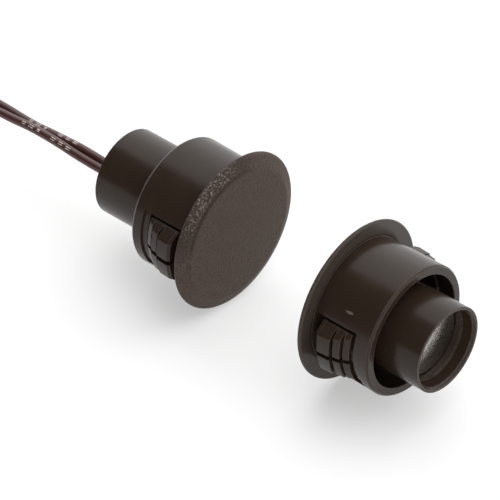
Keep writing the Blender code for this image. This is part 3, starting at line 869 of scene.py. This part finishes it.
def soft_least(a, b, blend):
    """The smaller of two numbers, with a rounded meeting."""
    mixed = max(blend - abs(a - b), 0.0) / blend
    return min(a, b) - mixed * mixed * blend / 4


def shoulder_r(angle):
    """The radius of the sloping shoulder at an angle from the finger's middle."""
    tilt = radians(90.0 - SHOULDER_SLOPE)
    reach = FINGER_EDGE_R * sin(tilt) + FINGER_HALF_WIDTH * cos(tilt)
    return reach / sin(tilt + radians(abs(angle)))


def finger_r(r, angle, top_r):
    """A section point's radius at an angle: under the shoulders, and low along the middle slot.

    The points of an end face, which have a top_r, are squeezed together below the lowered top.
    """
    if r <= FINGER_INNER_R + 0.01:
        return r
    limit = shoulder_r(angle)
    edge_left = (FINGER_ANGLE - abs(angle)) * radians(1) * BARREL_R
    rounding = FINGER_SIDE_ROUNDING
    if edge_left < rounding:
        limit -= rounding - (rounding**2 - (rounding - edge_left) ** 2) ** 0.5
    if abs(angle) < SLOT_HALF_ANGLE:
        limit = min(limit, SLOT_R)
    if top_r is None:
        return soft_least(r, limit, FINGER_BLEND)
    top = soft_least(top_r, limit, FINGER_BLEND)
    return FINGER_INNER_R + (r - FINGER_INNER_R) * (top - FINGER_INNER_R) / (top_r - FINGER_INNER_R)


def finger_angles():
    """Columns across a finger, closer together at its sides and the slot's."""
    half = [0.0, 0.9] + [SLOT_HALF_ANGLE + step for step in (-0.40, -0.08, -0.02, 0.02, 0.08, 0.20)]
    columns = 40
    spacing = (FINGER_ANGLE - 2.0) / columns
    half += [half[-1] + spacing * i for i in range(1, columns - 1)]
    half = [a for a in half if a < FINGER_ANGLE - 0.6]
    half += [FINGER_ANGLE - step for step in (0.5, 0.3, 0.15, 0.06, 0.0)]
    return [-a for a in half[:0:-1]] + half


def end_top_r(r, depth):
    """The top of the end face that a section point lies on, or None along the ridges."""
    near = depth < FINGER_NEAR + 0.005
    if not near and depth <= FINGER_FAR - 0.005:
        return None
    return max(FINGER_TOP_RS[0 if near else 1] - FINGER_END_ROUNDING, r)


def add_finger(unit, letter, at, material):
    """A snap finger, as a grid of section points by columns with its two sides closed."""
    angles = finger_angles()
    shape = bmesh.new()
    edge = shape.verts.layers.float.new("edge")
    grid = []
    for r, z, on_edge in finger_section():
        top_r = end_top_r(r, -z)
        row = []
        for angle in angles:
            vert = shape.verts.new(round_axis(finger_r(r, angle, top_r), at + angle, z))
            vert[edge] = on_edge
            row.append(vert)
        grid.append(row)
    for near, far in zip(grid, grid[1:] + grid[:1]):
        for i in range(len(angles) - 1):
            shape.faces.new((near[i], far[i], far[i + 1], near[i + 1]))
    for column in (0, -1):
        shape.faces.new([row[column] for row in grid])
    name = f"{unit.name}_finger_{letter}"
    node = f"{unit.name}_snap_finger_{letter}"
    mesh = finish_mesh(shape, name, sharp=40)
    add_piece(name, mesh, material, node, [node], unit.matrix)


# ---- leads, coil and tie


def lead_route(unit, letter):
    """A lead's points in the world from inside the tube to its coil."""
    side = LEAD_SIDES[letter]
    across = side * LEAD_START_ACROSS
    start_x, start_z = unit.seat_x - LEAD_START_DEPTH, unit.axis_z + LEAD_START_UP
    points = [(start_x, -across, start_z), (start_x - 1.2, -0.9 * across, start_z - 0.08)]
    offset = side * LEAD_SPACING / 2
    for depth, height, turn in PAIR_ROUTE:
        points.append((
            unit.seat_x - depth,
            -offset * cos(radians(turn)),
            unit.axis_z + height - offset * sin(radians(turn)),
        ))
    return points + [(unit.seat_x - depth, across, height) for depth, across, height in LANDINGS[letter]]


def ease(t):
    """Goes from 0 to 1 with a soft start and end."""
    t = min(max(t, 0.0), 1.0)
    return t * t * (3 - 2 * t)


def coil_route(letter):
    """The turns: inwards on the upper layer, down inside, and outwards on the lower layer."""
    inner, middle, outer = COIL_TURN_RADII
    step = outer - middle
    upper, lower = COIL_HEIGHTS[letter]
    last = 360.0 * COIL_TURNS + TAIL_AT[letter]
    first = COIL_ENTRY_AT
    inwards = [first + 360.0 * k - CROSSING for k in (1, 2)]
    outwards = [last - 360.0 * k for k in (1, 2)]
    drop = first + 720.0 + DROP_FROM
    count = ceil((last - first) / COIL_STEP)
    points = []
    for i in range(count + 1):
        angle = first + (last - first) * i / count
        crossed_in, crossed_out = (
            sum(ease((angle - start) / CROSSING) for start in starts) for starts in (inwards, outwards)
        )
        radius = outer - step * crossed_in + step * crossed_out
        height = upper + (lower - upper) * ease((angle - drop) / DROP_OVER)
        x = COIL_CENTRE[0] + radius * cos(radians(angle))
        y = COIL_CENTRE[1] + radius * sin(radians(angle))
        points.append((x, y, height))
    return points


def tail_route(letter):
    """Off the ring along its tangent, and down to the floor."""
    angle = radians(TAIL_AT[letter])
    away = Vector((-sin(angle), cos(angle), 0))
    start = Vector((*COIL_CENTRE, 0)) + COIL_TURN_RADII[-1] * Vector((cos(angle), sin(angle), 0))
    rest = LEAD_D / 2 + 0.02
    height = COIL_HEIGHTS[letter][1]
    return [
        start + away * reach + Vector((0, 0, rest + (height - rest) * part)) for reach, part in TAIL_DROPS
    ]


def add_lead(unit, letter, material):
    """A lead's insulation from inside the tube to its stripped end, as one cord."""
    route = lead_route(unit, letter) + coil_route(letter) + tail_route(letter)
    path = smooth_points(route, PATH_SPACING)
    name = f"lead_wire_{letter}"
    mesh = swept_mesh(
        name, path, LEAD_D / 2,
        uneven=0.02, seed=LEAD_SIDES[letter] * 3.7, first_side=PRINT_TOWARDS[letter],
    )
    nodes = [f"lead_{letter}", f"lead_coil_{letter}", f"lead_tail_{letter}"]
    obj = add_piece(name, mesh, material, unit.body, nodes)
    strands = add_strands(unit, letter, path)


def add_strands(unit, letter, path):
    """The stripped tip: six strands laid round one."""
    away = path[-1] - path[-3]
    away.z = 0.0
    away.normalize()
    start = path[-1] - away * STRAND_OVERLAP
    side = away.cross(Vector((0, 0, 1))).normalized()
    up = side.cross(away)
    length = STRIPPED + STRAND_OVERLAP
    down = Vector((0, 0, -(path[-1].z - 3 * STRAND_R)))
    outer, steps = 6, 30
    shape = bmesh.new()
    for k in range(outer + 1):
        lean = 0.0 if k == outer else 2 * STRAND_R
        points = []
        for i in range(steps + 1):
            t = i / steps
            spin = 2 * pi * (k / outer + STRAND_TURNS * t)
            offset = side * cos(spin) * lean + up * sin(spin) * lean
            points.append(start + away * length * t + offset + down * ease((t - 0.2) * 1.4))
        part = swept_mesh("strand", points, STRAND_R, sides=10)
        shape.from_mesh(part)
        bpy.data.meshes.remove(part)
    name = f"lead_strands_{letter}"
    mesh = finish_mesh(shape, name, sharp=50)
    nodes = [f"lead_tip_{letter}"]
    return add_piece(name, mesh, MATERIALS["conductor"], unit.body, nodes)


def tie_loop(grow):
    """A rounded rectangle round all the turns, `grow` millimetres outside the closest one."""
    wide = LEAD_D / 2 + TIE_ROOM
    inner, outer = COIL_TURN_RADII[0] - wide - grow, COIL_TURN_RADII[-1] + wide + grow
    low, high = 0.02, COIL_HEIGHTS["b"][0] + LEAD_D / 2 + 0.12 + grow
    radius = TIE_CORNER_R + grow
    steps = 6
    loop = []
    for i, (x, z) in enumerate(((inner, low), (outer, low), (outer, high), (inner, high))):
        sign_x = 1 if i in (1, 2) else -1
        sign_z = 1 if i >= 2 else -1
        for k in range(steps + 1):
            turn = radians((180 + 90 * i) % 360 + 90 * k / steps)
            loop.append((x + radius * (cos(turn) - sign_x), z + radius * (sin(turn) - sign_z)))
    return loop


def add_tie(unit):
    """A closed nylon band round both leads' turns."""
    shape = bmesh.new()
    tight, loose = tie_loop(0.0), tie_loop(TIE_THICK)
    half = TIE_WIDTH / 2
    sections = [(tight, -half), (tight, half), (loose, half), (loose, -half)]
    rings = [[shape.verts.new((x * MM, y * MM, z * MM)) for x, z in loop] for loop, y in sections]
    join_rings(shape, rings + rings[:1])
    steep = radians(60)
    rims = [e for e in shape.edges if len(e.link_faces) == 2 and e.calc_face_angle() > steep]
    bmesh.ops.bevel(shape, geom=rims, offset=0.08 * MM, segments=2, affect="EDGES")
    matrix = Matrix.Translation(Vector((*COIL_CENTRE, 0)) * MM) @ Matrix.Rotation(radians(TIE_AT), 4, "Z")
    mesh = finish_mesh(shape, "coil_band", sharp=50)
    add_piece("coil_band", mesh, MATERIALS["tie"], unit.body, ["coil_tie"], matrix)


# ---- inside the tubes


def potting_depth(x, y, seat):
    """How deep the resin's surface is at a point: domed, and climbing up each lead."""
    from_middle = hypot(x, y) / POTTING_R
    leads = [(LEAD_START_UP - 0.15, side * LEAD_SPACING / 2) for side in LEAD_SIDES.values()]
    away = min(hypot(x - up, y - across) for up, across in leads)
    dome = 0.62 * max(1 - from_middle**7, 0.0) ** 0.5
    climb = 0.30 * exp(-max(away - LEAD_D / 2, 0.0) / 0.35)
    uneven = 0.05 * noise.noise(Vector((x, y, 3.1)) * 0.6)
    return seat + dome + (climb + uneven) * (1 - from_middle**4)


def add_potting(unit):
    """The resin in the tube's mouth, with a plug that reaches down to the leads' start."""
    seat = unit.tube_depth + 0.02
    plug_r = TUBE_BORE_R - 0.05
    rows = 28
    shape = bmesh.new()

    def ring_at(r, depth_at):
        ring = []
        for angle in even_angles(TURN_STEPS):
            x, y = r * cos(radians(angle)), r * sin(radians(angle))
            ring.append(shape.verts.new((x * MM, y * MM, -depth_at(x, y) * MM)))
            if r == 0:
                break
        return ring

    rings = []
    for k in range(rows + 1):
        r = POTTING_R * (1 - (1 - k / rows) ** 1.6)
        rings.append(ring_at(r, lambda x, y: potting_depth(x, y, seat)))
    plug = ((POTTING_R, unit.tube_depth), (plug_r, unit.tube_depth), (plug_r, LEAD_START_DEPTH + 0.1))
    for r, depth in plug:
        rings.append(ring_at(r, lambda x, y: depth))
    join_rings(shape, rings)
    shape.faces.new(rings[-1])
    name, nodes = "potting_resin", ["potting_plug"]
    mesh = finish_mesh(shape, name, sharp=40)
    add_piece(name, mesh, MATERIALS["potting"], unit.body, nodes, unit.matrix)


def add_magnet(unit):
    """The rod magnet, glued in the tube a little way behind its mouth."""
    near, far = MAGNET_DEPTHS
    r = TUBE_BORE_R - 0.06
    section = rounded([(0, -near, 0), (r, -near, 0.2), (r, -far, 0.22), (0, -far, 0)])
    name, nodes = "magnet_bar", ["magnet_rod"]
    mesh = turned_mesh(name, section)
    add_piece(name, mesh, MATERIALS["magnet"], unit.body, nodes, unit.matrix)


def add_reed_glass(unit):
    """The sealed glass tube with its pinched ends."""
    steps = 64
    near, far = REED_DEPTHS
    neck, bore = 0.5, REED_R - 0.3
    corners = [
        (neck, -near, 0), (REED_R - 0.35, -near, 0.25), (REED_R, -near - 0.6, 0.5),
        (REED_R, -far + 0.6, 0.5), (REED_R - 0.35, -far, 0.25), (neck, -far, 0.1),
        (neck, -far + 0.7, 0.1), (bore, -far + 1.2, 0.3),
        (bore, -near - 1.2, 0.3), (neck, -near - 0.7, 0.1),
    ]
    name, nodes = "reed_envelope", ["reed_glass"]
    mesh = turned_mesh(name, rounded(corners), steps, place=(REED_UP, REED_ACROSS), closed=True)
    add_piece(name, mesh, MATERIALS["glass"], unit.body, nodes, unit.matrix)


def paint_frame_nodes():
    """Materials for the inner CAD nodes, whose shapes are right as they are."""
    painted = {
        "cushion": ["reed_cushion"],
        "alloy": ["reed_blade_fixed", "reed_blade_moving", "reed_lead_rear"],
        "crimp": ["crimp_a", "crimp_b"],
        "conductor": ["lead_core_a", "lead_core_b"],
        "adhesive": ["magnet_adhesive"],
    }
    for material, nodes in painted.items():
        for slot in (slot for node in nodes for slot in frame["nodes"][node].material_slots):
            slot.material = MATERIALS[material]


# ---- the whole scene

MATERIALS = {
    "potting": potting_material(),
    "conductor": metal_material("tinned_strands", (0.62, 0.58, 0.52), (0.8, 0.76, 0.7), 0.28),
    "tie": plain_material("tie_nylon", (0.012, 0.012, 0.013), (0.022, 0.022, 0.023), 0.42, IOR=1.53),
    "magnet": magnet_material(),
    "glass": glass_material(),
    "alloy": metal_material("reed_alloy", (0.52, 0.5, 0.46), (0.7, 0.68, 0.63), 0.3),
    "crimp": metal_material(
        "crimp_tin", (0.6, 0.59, 0.56), (0.8, 0.79, 0.76), 0.36, (1.0, 1.0, 1.0), 0.02,
    ),
    "cushion": plain_material("cushion_silicone", (0.66, 0.65, 0.62), (0.8, 0.79, 0.77), 0.6),
    "adhesive": plain_material("adhesive_epoxy", (0.34, 0.33, 0.31), (0.52, 0.51, 0.48), 0.5),
}

aim_camera()
make_studio()
switch = Unit("switch", 1)
magnet = Unit("magnet", -1)
for letter in "ab":
    add_lead(switch, letter, lead_material(letter))
add_tie(switch)

SHELLS = {"switch": housing_material(), "magnet": housing_material("magnet_housing_plastic", SCUFF_AT)}
for unit in (switch, magnet):
    shell = SHELLS[unit.name]
    fingers_at = [unit.finger_angle(f"{unit.name}_snap_finger_{letter}") for letter in "ab"]
    add_housing(unit, fingers_at, shell)
    for letter, at in zip("ab", fingers_at):
        add_finger(unit, letter, at, shell)
add_potting(switch)
add_reed_glass(switch)
add_magnet(magnet)
paint_frame_nodes()

bpy.context.view_layer.update()
